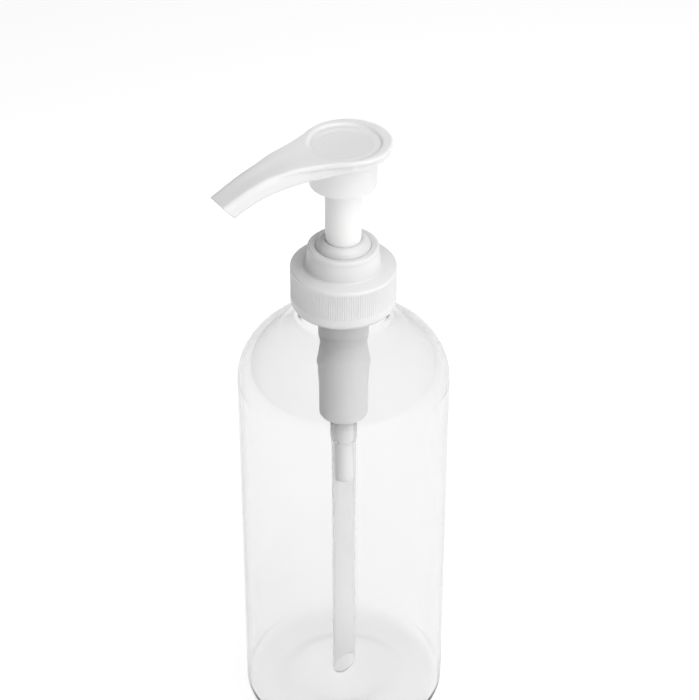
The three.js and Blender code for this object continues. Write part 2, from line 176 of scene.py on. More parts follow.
# the closure
RIB_COUNT = 144
RIB_DEPTH = 0.28
RIB_STEPS = 6  # points round each rib
RIB_BAND = (3.3, 12.5)
CLOSURE_RADIUS = 16.5
CLOSURE_TOP = 13.5
CLOSURE_BORE = 14.2
CLOSURE_CEILING = 12.55
CLOSURE_THREAD_TURNS = 1.25
CLOSURE_THREAD_TURN = 0.65  # where it starts
CLOSURE_THREAD_DEPTH = 1.1
BOSS_TOP = 20.9
BOSS_RADIUS = 10.98
BOSS_BORE = 9.0
BOSS_LIP = 8.66

# the pump
CHAPLET_RADIUS = 8.6
CHAPLET_TOP = 23.3
STEM_RADIUS = 5.58
STEM_BORE = 4.1
STEM_FOOT = 1.0
STEM_TOP = 52.0
PUMP_BORE = 6.6
PUMP_FLOOR = -42.8
FLOOR_THICKNESS = 1.6
TAIL_END = -69.3
TAIL_BORE = 1.9
VENT_RADIUS = 0.5
VENT_HEIGHT = 1.7
VENT_REACH = (5.0, 10.0)  # ends of the drill, inside the bore and outside the wall
HOUSING_RADIUS = 8.0
HOUSING_WAIST = 7.45
HOUSING_TOP = 20.2
GUIDE_BORE = 7.3  # where the chaplet sits
FLANGE_RADIUS = 13.2
FLANGE_SPAN = (11.3, 12.4)
SPIGOT_RADIUS = 3.05
SPIGOT_ROOT = 3.5
TUBE_RADIUS = 3.95
TUBE_WALL = 0.8
TUBE_SLANT = 0.73
TUBE_FLARE = 4.4  # of the tube's end that grips the spigot
TUBE_FLARE_BORE = 3.6
TUBE_TIP = 5 - CLOSURE_Z
PISTON_BORE = 4.15
PISTON_BODY = 5.9
PISTON_LIP = 6.5
ROD_BORE = 1.75
ROD_RADIUS = 3.95
ROD_FLANGE = 5.9
BALL_RADIUS = 2.5
SPRING_RADIUS = 5.35
SPRING_WIRE = 0.5
SPRING_SPAN = (-39.9, -8.45)
SPRING_TURNS = 8.5

# the studio, in metres
VIEW_PITCH = math.radians(35.24)  # camera looks down by this much
VIEW_TURN = math.radians(58.0)  # camera's place round the object, from -Y towards +X
CAMERA_BACK = 0.59566  # from the middle of the closure's lower edge, on the level
CAMERA_UP = 0.40206
CAMERA_ASIDE = 0.00187
CAMERA_LENS = 118.7
KEY_LAMP = {"turn": 48, "elevation": 30, "distance": 1.2, "size": 0.9, "power": 4.6}
TOP_LAMP = {"turn": 30, "elevation": 75, "distance": 1.3, "size": 1.2, "power": 10.5}
LAMP_AIM = (0, 0, 0.12)
WORLD_LEFT = 0.05
WORLD_RIGHT = 0.66
FLOOR_HALF = 4.0
FLOOR_DROP = 0.00005  # keeps the floor clear of the bottle's foot
FLOOR_GLOW = 0.3

# ------------------------------------------------------------------ meshes


def make_piece(name, points, faces, body, node, material, crease=35.0):
    """A smooth-shaded mesh from points in millimetres, in a CAD node's place and riding on its body."""
    mesh = bpy.data.meshes.new(name)
    mesh.from_pydata([tuple(MM * float(c) for c in p) for p in points], [], faces)
    mesh.validate()
    mesh.update()
    mesh.shade_smooth()
    mesh.set_sharp_from_angle(angle=math.radians(crease))
    mesh.materials.append(material)
    piece = bpy.data.objects.new(name, mesh)
    bpy.context.scene.collection.objects.link(piece)
    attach(piece, body)
    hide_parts(node)
    return piece


def rounded(corners, closed, steps=5):
    """Corners (radius, height, fillet) as a profile of points with each fillet as an arc."""
    count = len(corners)
    points = []
    for i, (x, z, fillet) in enumerate(corners):
        here = Vector((x, z))
        if fillet <= 0 or (not closed and i in (0, count - 1)):
            points.append(here)
            continue
        before = Vector(corners[i - 1][:2])
        after = Vector(corners[(i + 1) % count][:2])
        to_before, to_after = (before - here), (after - here)
        half = to_before.angle(to_after) / 2
        reach = min(fillet / math.tan(half), 0.49 * to_before.length, 0.49 * to_after.length)
        start = here + to_before.normalized() * reach
        end = here + to_after.normalized() * reach
        for k in range(steps + 1):
            t = k / steps
            points.append(start.lerp(here, t).lerp(here.lerp(end, t), t))
    return [(p.x, p.y) for p in points]


def turned(profile, segments, shape=None, closed=True):
    """Points and faces of a profile turned about Z. shape(radius, height, angle) may move a point."""
    points, rings = [], []
    for radius, height in profile:
        if radius < 1e-6:
            rings.append([len(points)])
            points.append((0.0, 0.0, height))
            continue
        ring = []
        for j in range(segments):
            angle = 2 * math.pi * j / segments
            r, h = shape(radius, height, angle) if shape else (radius, height)
            ring.append(len(points))
            points.append((r * math.cos(angle), r * math.sin(angle), h))
        rings.append(ring)
    faces = []
    pairs = list(zip(rings, rings[1:]))
    if closed:
        pairs.append((rings[-1], rings[0]))
    for low, high in pairs:
        if len(low) == 1 and len(high) == 1:
            continue
        for j in range(segments):
            k = (j + 1) % segments
            if len(low) == 1:
                faces.append((low[0], high[k], high[j]))
            elif len(high) == 1:
                faces.append((low[j], low[k], high[0]))
            else:
                faces.append((low[j], low[k], high[k], high[j]))
    return points, faces


def raise_by(points, height):
    return [(x, y, z + height) for x, y, z in points]


# ------------------------------------------------------------------ actuator head as a distance field


def smooth_table(rows, column, at):
    """A column of a table as a smooth function of its first column (cubic Hermite through the rows)."""
    xs = np.array([r[0] for r in rows], float)
    ys = np.array([r[column] for r in rows], float)
    slopes = np.gradient(ys, xs)
    at = np.clip(at, xs[0], xs[-1])
    i = np.clip(np.searchsorted(xs, at) - 1, 0, len(xs) - 2)
    width = xs[i + 1] - xs[i]
    t = (at - xs[i]) / width
    return (
        (1 + 2 * t) * (1 - t) ** 2 * ys[i]
        + t * (1 - t) ** 2 * width * slopes[i]
        + t * t * (3 - 2 * t) * ys[i + 1]
        + t * t * (t - 1) * width * slopes[i + 1]
    )


def outline_distance(outline, xs, ys):
    """Signed distance on a grid from a closed outline of (x, y) points, negative inside."""
    x, y = np.meshgrid(xs, ys, indexing="ij")
    best = np.full(x.shape, 1e9)
    inside = np.zeros(x.shape, bool)
    for (ax, ay), (bx, by) in zip(outline, outline[1:] + outline[:1]):
        ex, ey = bx - ax, by - ay
        t = np.clip(((x - ax) * ex + (y - ay) * ey) / max(ex * ex + ey * ey, 1e-12), 0, 1)
        best = np.minimum(best, np.hypot(x - ax - t * ex, y - ay - t * ey))
        if abs(by - ay) > 1e-12:
            crosses = (ay > y) != (by > y)
            inside ^= crosses & (x < ex * (y - ay) / (by - ay) + ax)
    return np.where(inside, -best, best)


def mirrored(side):
    """A closed outline from (reach, half width) points down one side."""
    right = [(w, -s) for s, w in side]
    left = [(-w, -s) for s, w in reversed(side)]
    return right + left


def saddle_outline(radius, leave, rows, reaches):
    """The pad's round back, left at an angle in degrees, and the half widths of a table beyond it."""
    turns = np.linspace(math.pi / 2 - 0.001, -math.radians(leave), 60)
    back = [(-PAD_CENTRE - radius * math.sin(a), radius * math.cos(a)) for a in turns]
    side = list(zip(reaches, smooth_table(rows, 1, reaches)))
    return mirrored(back + side)


def smooth_union(a, b, k):
    """Both solids, blended over a distance k."""
    t = np.clip(0.5 + 0.5 * (b - a) / k, 0, 1)
    return b * (1 - t) + a * t - k * t * (1 - t)


def smooth_cut(a, b, k):
    """Solid a without b, with its edge blended over a distance k."""
    return -smooth_union(-a, b, k)


def slab(flat, below, above, lower_radius, upper_radius):
    """Outline distance and the two faces' distances joined with rounded edges."""
    radius = np.where(above > below, upper_radius, lower_radius)
    side = flat + radius
    face = np.maximum(below, above) + radius
    outside = np.hypot(np.maximum(side, 0), np.maximum(face, 0))
    return outside + np.minimum(np.maximum(side, face), 0) - radius


def tube_distance(x, reach, height, path, radius):
    """Distance from a round channel along a smooth path in the plane x = 0."""
    ends = np.linspace(path[0][0], path[-1][0], 60)
    heights = smooth_table(path, 1, ends)
    best = np.full(x.shape, 1e9)
    for i in range(len(ends) - 1):
        ex, ez = ends[i + 1] - ends[i], heights[i + 1] - heights[i]
        t = np.clip(((reach - ends[i]) * ex + (height - heights[i]) * ez) / (ex * ex + ez * ez), 0, 1)
        dr, dz = reach - ends[i] - t * ex, height - heights[i] - t * ez
        best = np.minimum(best, x * x + dr * dr + dz * dz)
    return np.sqrt(best) - radius


def cylinder_distance(radial, height, radius, low, high, edge=0.0):
    """Distance from an upright cylinder whose edges are rounded by edge."""
    side = radial - radius + edge
    face = np.maximum(low - height, height - high) + edge
    outside = np.hypot(np.maximum(side, 0), np.maximum(face, 0))
    return outside + np.minimum(np.maximum(side, face), 0) - edge


def saddle_distance(xs, ys, z):
    """Distance from the plate with the spout's body under it."""
    plate_outline = saddle_outline(PAD_RADIUS, PLATE_LEAVE, PLATE_SIDE, np.linspace(4.5, 36.0, 90))
    body_radius = PAD_RADIUS - SPOUT_INSET
    body_outline = saddle_outline(body_radius, BODY_LEAVE, BODY, np.linspace(4.0, 47.5, 120))
    plate_flat = outline_distance(plate_outline, xs, ys)[:, :, None]
    body_flat = outline_distance(body_outline, xs, ys)[:, :, None]
    along = -ys[None, :, None]
    plate_top = smooth_table(PLATE_HEIGHT, 1, along)
    crown = smooth_table(BODY, 2, along)
    sill = smooth_table(BODY, 3, along)
    slope_top = np.sqrt(1 + np.gradient(crown[0, :, 0], -ys) ** 2)[None, :, None]
    slope_low = np.sqrt(1 + np.gradient(sill[0, :, 0], -ys) ** 2)[None, :, None]
    plate = slab(plate_flat, plate_top - PLATE_THICKNESS - z, z - plate_top, *PLATE_EDGES)
    shoulder = np.interp(along, *SHOULDER_ROUNDING)
    keel = np.interp(along, *KEEL_ROUNDING)
    body = slab(body_flat, (sill - z) / slope_low, (z - crown) / slope_top, keel, shoulder)
    return smooth_union(plate, body, PLATE_BLEND)


def recess_distance(x, y, z):
    """Distance from the pad's recess, whose dished floor has a plain raised ring and a fine groove."""
    radial = np.hypot(x, y)
    around = np.hypot(x, y - RECESS_CENTRE)
    floor = RECESS_FLOOR - DISH_DEPTH * (1 - np.clip(radial / DISH_RADIUS, 0, 1) ** 2)
    floor = floor + RING_HEIGHT * np.exp(-(((radial - RING_RADIUS) / RING_HALF_WIDTH) ** 4))
    floor = floor - GROOVE_DEPTH * np.exp(-(((radial - GROOVE_RADIUS) / GROOVE_HALF_WIDTH) ** 2))
    return np.maximum(around - RECESS_RADIUS - RECESS_DRAFT * (z - RECESS_FLOOR), floor - z)


def passage_distance(x, y, z):
    """Distance from the way of the soap: the stem's socket, the chamber above it and the channel."""
    radial = np.hypot(x, y)
    socket = cylinder_distance(radial, z, SOCKET_RADIUS, BELOW_HEAD, SOCKET_TOP)
    chamber = cylinder_distance(radial, z, CHAMBER_RADIUS, BELOW_HEAD, CHAMBER_TOP, CHAMBER_EDGE)
    channel = tube_distance(x, -y, z, CHANNEL_PATH, CHANNEL_RADIUS)
    return np.minimum(socket, np.minimum(chamber, channel))


def beyond_outlet(y, z):
    """Distance from all that lies past the outlet's flat end, which leans out from the vertical."""
    lip_reach, lip_height = OUTLET_TOP
    return (z - lip_height) * math.sin(OUTLET_TILT) - (-y - lip_reach) * math.cos(OUTLET_TILT)


def head_field():
    """Distance from the head's surface on a grid, negative inside its material."""
    xs, ys, zs = [np.arange(low, high, GRID_STEP) for low, high in zip(HEAD_LOW, HEAD_HIGH)]
    x, y, z = np.meshgrid(xs, ys, zs, indexing="ij")
    radial = np.hypot(x, y)
    collar = cylinder_distance(radial, z, COLLAR_RADIUS, COLLAR_FOOT, COLLAR_ROOT, COLLAR_EDGE)
    bore = cylinder_distance(radial, z, COLLAR_BORE, BELOW_HEAD, COLLAR_CEILING)
    solid = smooth_union(saddle_distance(xs, ys, z), collar, COLLAR_BLEND)
    solid = smooth_cut(solid, recess_distance(x, y, z), RECESS_BLEND)
    solid = smooth_cut(solid, bore, BORE_BLEND)
    solid = smooth_cut(solid, passage_distance(x, y, z), PASSAGE_BLEND)
    return smooth_cut(solid, beyond_outlet(y, z), OUTLET_BLEND)


def make_head(material):
    grid = openvdb.FloatGrid(background=3.0)
    grid.copyFromArray(np.clip(head_field(), -3, 3).astype(np.float32))
    points, quads = grid.convertToQuads(isovalue=0.0)
    points = HEAD_LOW + GRID_STEP * points
    faces = [tuple(int(i) for i in q) for q in quads]
    points[:, 2] += CLOSURE_Z
    return make_piece("head", points, faces, "head_body", "actuator", material,
                      HEAD_CREASE)


# ------------------------------------------------------------------ bottle


def arc(centre_r, centre_z, radius_r, radius_z, start, stop, steps):
    """Points of an elliptic arc, from start to stop degrees."""
    angles = np.radians(np.linspace(start, stop, steps + 1))
    return [(centre_r + radius_r * math.cos(a), centre_z + radius_z * math.sin(a)) for a in angles]


def grooved_base(lift):
    """Points of the base from its middle out: a flat disc and a smooth groove round it."""
    points = [(0.0, lift)]
    for along in np.linspace(0, 1, 25):
        radius = BASE_DISC_RADIUS + along * (BASE_RING_RADIUS - BASE_DISC_RADIUS)
        points.append((radius, lift + BASE_GROOVE_DEPTH * math.sin(math.pi * along) ** 2))
    return points


def bottle_profile():
    """The wall's section: up the outside from the middle of the base, over the lip and down the inside."""
    inner = BOTTLE_RADIUS - BOTTLE_WALL
    neck_top = CLOSURE_Z + NECK_TOP
    flare_angle = math.degrees(math.acos(FLARE_RADIUS / BOTTLE_RADIUS))
    flare = SHOULDER_START + SHOULDER_RISE * math.sin(math.radians(flare_angle))
    floor = BOTTLE_WALL
    base = grooved_base(0) + [(BASE_FLAT_RADIUS, 0.0)]
    heel = arc(BOTTLE_RADIUS - HEEL_RADIUS, HEEL_RADIUS, HEEL_RADIUS, HEEL_RADIUS, -84, 0, 12)
    wall = [(BOTTLE_RADIUS, HEEL_RADIUS + k * (SHOULDER_START - HEEL_RADIUS) / 12) for k in range(1, 12)]
    shoulder = arc(0, SHOULDER_START, BOTTLE_RADIUS, SHOULDER_RISE, 0, flare_angle, 36)
    plain = rounded([
        (19.8, flare + 0.12, 0), (PLAIN_NECK_RADIUS + PLAIN_NECK_DRAFT, flare + 4.0, 5.5),
        (PLAIN_NECK_RADIUS, CLOSURE_Z + 0.1, 0.05), (NECK_RADIUS, CLOSURE_Z + 0.2, 0.05),
        (NECK_RADIUS, CLOSURE_Z + 0.3, 0),
    ], closed=False, steps=10)
    rings = range(2, int((NECK_TOP - 0.9) / NECK_STEP) + 1)
    threaded = [(NECK_RADIUS, CLOSURE_Z + k * NECK_STEP) for k in rings]
    lip = rounded([
        (NECK_RADIUS, neck_top - 0.7, 0), (NECK_RADIUS, neck_top, 0.4), (NECK_BORE, neck_top, 0.4),
        (NECK_BORE, CLOSURE_Z + 1.4, 0.8), (PLAIN_NECK_RADIUS - BOTTLE_WALL, CLOSURE_Z - 0.8, 0.8),
        (PLAIN_NECK_RADIUS + PLAIN_NECK_DRAFT - BOTTLE_WALL, flare + 3.6, 5.9), (19.3, flare - 0.65, 0),
    ], closed=False, steps=8)
    inside = arc(0, SHOULDER_START, inner, SHOULDER_RISE - BOTTLE_WALL, flare_angle - 0.6, 0, 34)
    inner_wall = [(inner, SHOULDER_START - k * (SHOULDER_START - floor - HEEL_RADIUS) / 12)
                  for k in range(1, 12)]
    inner_heel = arc(inner - HEEL_RADIUS, floor + HEEL_RADIUS, HEEL_RADIUS, HEEL_RADIUS, 0, -90, 12)
    inner_base = grooved_base(floor)[::-1]
    outer = base + heel + wall + shoulder + plain + threaded
    return outer + lip + inside + inner_wall + inner_heel + inner_base


def ridge_height(height, angle, start, turns, start_turn=0.0):
    """0 to 1: how far a screw thread stands out at this height and angle."""
    turn = angle / (2 * math.pi)
    best = 0.0
    for k in range(-1, 4):
        at = turn + k - start_turn
        if not 0 <= at <= turns:
            continue
        fade = min(1.0, at * 10, (turns - at) * 10)
        gap = abs(height - (start + THREAD_PITCH * at))
        best = max(best, fade * max(0.0, min(1.0, (1.2 - gap) / 0.7)))
    return best


def threaded_neck(radius, height, angle):
    """Outer wall of the neck with its thread."""
    above = height - CLOSURE_Z
    if radius < NECK_RADIUS - 0.05 or not 0 <= above <= NECK_TOP - 0.8:
        return radius, height
    ridge = ridge_height(above, angle, NECK_THREAD_START, NECK_THREAD_TURNS)
    return radius + NECK_THREAD_DEPTH * ridge, height


def make_bottle(material):
    points, faces = turned(bottle_profile(), BOTTLE_TURN, threaded_neck)
    piece = make_piece("bottle_shell", points, faces, "bottle_body", "bottle", material)
    piece.visible_shadow = False  # lamps light the pump through the clear wall
    return piece


# ------------------------------------------------------------------ closure


def ribbed(radius, height, angle):
    """Outer wall of the skirt with its ribs, and the thread ridge on its bore."""
    low, high = RIB_BAND
    if radius > CLOSURE_RADIUS - 0.05 and low - 0.01 < height < high + 0.01:
        wave = 0.5 - 0.5 * math.cos(RIB_COUNT * angle)
        run_out = min(1.0, (height - low) / 0.5, (high - height) / 0.35)
        return radius - RIB_DEPTH * run_out * wave, height
    if abs(radius - CLOSURE_BORE) < 0.01 and 0.3 < height < CLOSURE_CEILING - 0.3:
        start = NECK_THREAD_START + THREAD_PITCH * (CLOSURE_THREAD_TURN - 0.5)
        ridge = ridge_height(height, angle, start, CLOSURE_THREAD_TURNS, CLOSURE_THREAD_TURN)
        return radius - CLOSURE_THREAD_DEPTH * ridge, height
    return radius, height


def closure_profile():
    """The wall's section: up the ribbed outside, over the boss and down the bore."""
    low, high = RIB_BAND
    skirt = rounded([
        (CLOSURE_BORE, 0, 0.25), (CLOSURE_RADIUS - 0.55, 0, 0.3), (CLOSURE_RADIUS, 1.1, 0.3),
        (CLOSURE_RADIUS, low - 0.1, 0),
    ], closed=False)
    band = [(CLOSURE_RADIUS, h) for h in (low, low + 0.5, 8.0, high - 0.35, high)]
    top = rounded([
        (CLOSURE_RADIUS, high + 0.05, 0), (CLOSURE_RADIUS, CLOSURE_TOP, 0.6), (12.6, 14.0, 0.5),
        (12.0, 14.35, 0.4), (11.75, 15.2, 1.0), (11.35, 17.4, 3.0), (10.75, 19.3, 0.3),
        (BOSS_RADIUS, 19.75, 0.25), (BOSS_RADIUS, BOSS_TOP - 0.35, 0.3), (10.45, BOSS_TOP, 0.25),
        (9.3, BOSS_TOP - 0.1, 0.1), (BOSS_LIP, BOSS_TOP - 0.2, 0.15), (BOSS_LIP, BOSS_TOP - 1.6, 0.1),
        (BOSS_BORE, BOSS_TOP - 2.2, 0.1), (BOSS_BORE, CLOSURE_CEILING, 0.2),
        (CLOSURE_BORE, CLOSURE_CEILING, 0.3), (CLOSURE_BORE, CLOSURE_CEILING - 0.6, 0),
    ], closed=False)
    bore = [(CLOSURE_BORE, h) for h in np.arange(CLOSURE_CEILING - 0.9, 0.7, -0.3)]
    return skirt[1:] + band + top + bore + [(CLOSURE_BORE, 0.3)]


def make_closure(material):
    points, faces = turned(closure_profile(), RIB_COUNT * RIB_STEPS, ribbed)
    return make_piece("closure_shell", raise_by(points, CLOSURE_Z), faces, "closure_body", "closure",
                      material, crease=40)


# ------------------------------------------------------------------ pump


def make_turned(name, corners, body, node, material, sides=PLAIN_TURN, shape=None):
    """A piece turned from corners (radius, height, fillet)."""
    points, faces = turned(rounded(corners, closed=True), sides, shape)
    return make_piece(name, raise_by(points, CLOSURE_Z), faces, body, node, material)


def housing_corners():
    """The wall's section: up the outside from the spigot's end, over the top and down the bore."""
    floor_top = PUMP_FLOOR + FLOOR_THICKNESS
    flange_low, flange_high = FLANGE_SPAN
    seat = TAIL_BORE - 0.15
    spigot = [
        (TAIL_BORE, TAIL_END, 0.1), (SPIGOT_RADIUS - 0.3, TAIL_END, 0.2),
        (SPIGOT_RADIUS, TAIL_END + 1.0, 0.3), (SPIGOT_RADIUS, -54, 0.3), (SPIGOT_ROOT, -52.6, 0.3),
        (SPIGOT_ROOT, PUMP_FLOOR, 0.3),
    ]
    cylinder = [
        (7.55, PUMP_FLOOR, 0.5), (7.88, PUMP_FLOOR + 0.6, 0.3), (7.88, -31, 3), (8.18, -26.5, 3),
        (8.18, -21, 1.5), (HOUSING_WAIST, -15.6, 0.9), (HOUSING_WAIST, -13.8, 0.9),
        (HOUSING_RADIUS, -11.6, 1.0), (HOUSING_RADIUS, flange_low, 0.1),
    ]
    flange = [
        (FLANGE_RADIUS, flange_low, 0.2), (FLANGE_RADIUS, flange_high, 0.2),
        (CHAPLET_RADIUS, flange_high, 0.2), (CHAPLET_RADIUS, HOUSING_TOP, 0.2),
    ]
    bore = [
        (GUIDE_BORE, HOUSING_TOP, 0.2), (GUIDE_BORE, 3, 0.2), (PUMP_BORE, 2.4, 0.2),
        (PUMP_BORE, floor_top, 0.2), (seat + 1.25, floor_top, 0.05), (seat, floor_top - 1.25, 0.05),
        (TAIL_BORE, floor_top - 1.6, 0.05),
    ]
    return spigot + cylinder + flange + bore


def make_chaplet(material):
    """The rounded guide ring that fills the boss."""
    bore = STEM_RADIUS + 0.1
    corners = [
        (bore, 4, 0.1), (GUIDE_BORE - 0.1, 4, 0.3), (GUIDE_BORE - 0.1, HOUSING_TOP + 0.1, 0.1),
        (CHAPLET_RADIUS, HOUSING_TOP + 0.1, 0.15),
        (CHAPLET_RADIUS, 20.9, 0.1), (7.9, 22.1, 1.6), (6.6, CHAPLET_TOP, 0.9),
        (bore, CHAPLET_TOP - 0.1, 0.1),
    ]
    return make_turned("stem_guide", corners, "pump_body", "chaplet", material, FINE_TURN)


def make_stem(material):
    """The tube that shows between the head and the pump."""
    corners = [
        (STEM_BORE, STEM_FOOT, 0.2), (STEM_RADIUS, STEM_FOOT, 0.2),
        (STEM_RADIUS, STEM_TOP, 0.3), (STEM_BORE, STEM_TOP, 0.3),
    ]
    return make_turned("stem_tube", corners, "head_body", "stem", material, FINE_TURN)


def slanted_tip(radius, height, angle):
    """Cuts the tube's lowest end on a slant, so that it can't seal against the base."""
    if height > TUBE_TIP + 1:
        return radius, height
    return radius, height + TUBE_SLANT * (TUBE_RADIUS + radius * math.sin(angle))


def make_dip_tube(material):
    """The suction tube, its flared end gripping the spigot."""
    bore = TUBE_RADIUS - TUBE_WALL
    corners = [
        (bore, TUBE_TIP, 0.1), (TUBE_RADIUS, TUBE_TIP, 0.1), (TUBE_RADIUS, -54.8, 1.0),
        (TUBE_FLARE, -52.9, 1.0), (TUBE_FLARE, PUMP_FLOOR - 0.3, 0.25),
        (TUBE_FLARE_BORE, PUMP_FLOOR - 0.3, 0.25), (TUBE_FLARE_BORE, -52.6, 0.8), (bore, -54.4, 0.8),
    ]
    piece = make_turned("suction_tube", corners, "pump_body", "dip_tube", material,
                        shape=slanted_tip)
    piece.visible_shadow = False  # lamps light the spigot through the milky wall
    return piece


def make_gasket(material):
    inner, low, high = NECK_BORE - 1.2, NECK_TOP + 0.1, NECK_TOP + 1.1
    corners = [
        (inner, low, 0.2), (FLANGE_RADIUS, low, 0.2), (FLANGE_RADIUS, high, 0.2), (inner, high, 0.2),
    ]
    return make_turned("neck_gasket", corners, "pump_body", "gasket", material)


def make_piston(material):
    """The seal that slides in the bore, with a lip at each end."""
    corners = [
        (PISTON_BORE, -6.4, 0.1), (6.1, -6.4, 0.2), (PISTON_LIP, -5.4, 0.3), (PISTON_LIP, -4.6, 0.3),
        (PISTON_BODY, -4, 0.3), (PISTON_BODY, -1.6, 0.3), (PISTON_LIP, -1, 0.3),
        (PISTON_LIP, -0.2, 0.3), (6.1, 0.8, 0.2), (PISTON_BORE, 0.8, 0.1),
    ]
    return make_turned("piston_seal", corners, "piston_body", "piston", material)


def make_rod(material):
    """The tube under the stem: a nose, a flange that the piston sits on and the outlet ball's seat."""
    corners = [
        (ROD_BORE, -14, 0.1), (3.4, -14, 0.3), (4.2, -12.8, 0.3), (4.2, -8.3, 0.15),
        (ROD_FLANGE, -8.3, 0.2), (ROD_FLANGE, -6.6, 0.2), (ROD_RADIUS, -6.6, 0.15),
        (ROD_RADIUS, 9.4, 0.15), (3.15, 9.4, 0.1), (ROD_BORE, 8, 0.1),
    ]
    return make_turned("plunger_rod", corners, "head_body", "piston_rod", material)


def make_ball(name, body, node, material):
    """A steel ball at its node's height, with a single point at each pole."""
    low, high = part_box(node)
    centre = (low.z + high.z) / 2 / MM
    profile = arc(0, centre, BALL_RADIUS, BALL_RADIUS, -90, 90, 32)
    profile = [(0.0, profile[0][1]), *profile[1:-1], (0.0, profile[-1][1])]
    points, faces = turned(profile, 64, closed=False)
    return make_piece(name, points, faces, body, node, material)


def swept(path_points, radius, sides):
    """A round bar along path points, closed at both ends."""
    points, faces = [], []
    count = len(path_points)
    for i, here in enumerate(path_points):
        ahead = path_points[min(i + 1, count - 1)]
        behind = path_points[max(i - 1, 0)]
        along = (Vector(ahead) - Vector(behind)).normalized()
        out = Vector((here[0], here[1], 0)).normalized()
        up = along.cross(out).normalized()
        for k in range(sides):
            a = 2 * math.pi * k / sides
            points.append(tuple(Vector(here) + radius * (math.cos(a) * out + math.sin(a) * up)))
    for i in range(count - 1):
        for k in range(sides):
            m = (k + 1) % sides
            faces.append((i * sides + k, i * sides + m, (i + 1) * sides + m, (i + 1) * sides + k))
    faces.append(tuple(reversed(range(sides))))
    faces.append(tuple(range((count - 1) * sides, count * sides)))
    return points, faces


def make_spring(material):
    """The return spring, with a closed part turn at each end."""
    low, high = SPRING_SPAN
    flat, closed_pitch = 0.75, 2.1 * SPRING_WIRE
    open_pitch = (high - low - 2 * SPRING_WIRE - 2 * flat * closed_pitch) / (SPRING_TURNS - 2 * flat)
    path = []
    steps = int(SPRING_TURNS * 40)
    for i in range(steps + 1):
        turn = SPRING_TURNS * i / steps
        height = (
            CLOSURE_Z + low + SPRING_WIRE
            + closed_pitch * (min(turn, flat) + max(0, turn - (SPRING_TURNS - flat)))
            + open_pitch * min(max(0, turn - flat), SPRING_TURNS - 2 * flat)
        )
        angle = 2 * math.pi * turn
        path.append((SPRING_RADIUS * math.cos(angle), SPRING_RADIUS * math.sin(angle), height))
    points, faces = swept(path, SPRING_WIRE, 14)
    piece = make_piece("return_spring", points, faces, "pump_body", "spring", material,
                       crease=60)
    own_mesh(piece)
    return piece


def box_mesh(size, centre):
    """A cutter's box as points and faces."""
    corners = [
        tuple(centre[i] + 0.5 * size[i] * sign[i] for i in range(3))
        for sign in [(-1, -1, -1), (1, -1, -1), (1, 1, -1), (-1, 1, -1),
                     (-1, -1, 1), (1, -1, 1), (1, 1, 1), (-1, 1, 1)]
    ]
    faces = [(0, 3, 2, 1), (4, 5, 6, 7), (0, 1, 5, 4), (1, 2, 6, 5), (2, 3, 7, 6), (3, 0, 4, 7)]
    return corners, faces


def temporary_object(name, points, faces):
    mesh = bpy.data.meshes.new(name)
    mesh.from_pydata([tuple(map(float, p)) for p in points], [], faces)
    thing = bpy.data.objects.new(name, mesh)
    bpy.context.scene.collection.objects.link(thing)
    return thing


def cut(points, faces, cutters):
    """The mesh less each cutter, as points and faces again."""
    body = temporary_object("cut_body", points, faces)
    tools = []
    for i, (cutter_points, cutter_faces) in enumerate(cutters):
        tool = temporary_object(f"cutter_{i}", cutter_points, cutter_faces)
        tools.append(tool)
        modifier = body.modifiers.new(f"cut_{i}", "BOOLEAN")
        modifier.operation = "DIFFERENCE"
        modifier.solver = "EXACT"
        modifier.object = tool
    made = bpy.data.meshes.new_from_object(body.evaluated_get(bpy.context.evaluated_depsgraph_get()))
    result = [tuple(v.co) for v in made.vertices], [tuple(p.vertices) for p in made.polygons]
    for thing in [body, *tools]:
        bpy.data.objects.remove(thing)
    bpy.data.meshes.remove(made)
    return result


def make_cage(material):
    """The slotted cup over the inlet ball."""
    foot = PUMP_FLOOR + FLOOR_THICKNESS + 0.1
    corners = [
        (3.3, foot, 0.1), (6.4, foot, 0.15), (6.4, foot + 1.1, 0.15), (4.3, foot + 1.1, 0.15),
        (4.3, foot + 5.7, 0.25), (1.5, foot + 5.7, 0.15), (1.5, foot + 4.7, 0.15),
        (3.3, foot + 4.7, 0.25),
    ]
    points, faces = turned(rounded(corners, closed=True), 80)
    slots = [box_mesh((12, 2, 2.6), (0, 0, foot + 2.9)), box_mesh((2, 12, 2.6), (0, 0, foot + 2.9))]
    points, faces = cut(points, faces, slots)
    return make_piece("inlet_cage", raise_by(points, CLOSURE_Z), faces, "pump_body", "ball_cage",
                      material)


def make_housing(material):
    """The cylinder with its flange and spigot, and a vent that lets air in behind the piston."""
    points, faces = turned(rounded(housing_corners(), closed=True), FINE_TURN)
    inner_end, outer_end = VENT_REACH
    bar = [(0.0, inner_end), (VENT_RADIUS, inner_end), (VENT_RADIUS, outer_end), (0.0, outer_end)]
    drill_points, drill_faces = turned(bar, 24, closed=False)
    drill_points = [(z, y, VENT_HEIGHT - x) for x, y, z in drill_points]
    points, faces = cut(points, faces, [(drill_points, drill_faces)])
    return make_piece("pump_housing", raise_by(points, CLOSURE_Z), faces, "pump_body", "housing",
                      material)


# ------------------------------------------------------------------ materials


